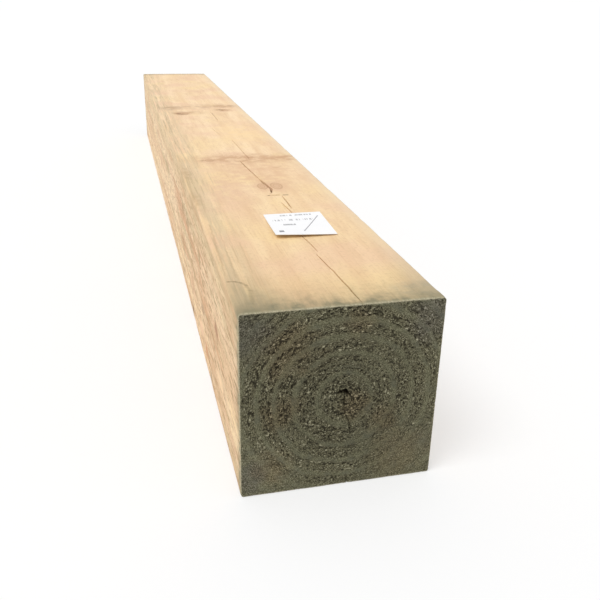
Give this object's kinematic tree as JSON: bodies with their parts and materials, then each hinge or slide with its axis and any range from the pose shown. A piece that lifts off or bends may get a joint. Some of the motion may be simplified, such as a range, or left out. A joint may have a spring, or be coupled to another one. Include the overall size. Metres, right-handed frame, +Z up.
{
  "type": "timber house pile",
  "caption": "Square sawn softwood foundation post with the heart boxed in it, lying on its side, with a blank card label on its upper face.",
  "frame": {"origin": "middle of the underside, on the floor", "axes": "+Y along the grain from the labelled end to the other end, +Z up, +X to the right of someone looking along +Y"},
  "size_m": [0.125, 1.2, 0.1284],
  "materials": {
    "timber": "rough sawn, dry, pale honey with a weathered grey-green end grain",
    "card": "matt off-white card"
  },
  "bodies": {
    "root": {"pile": "timber", "label": "card"}
  },
  "joints": []
}
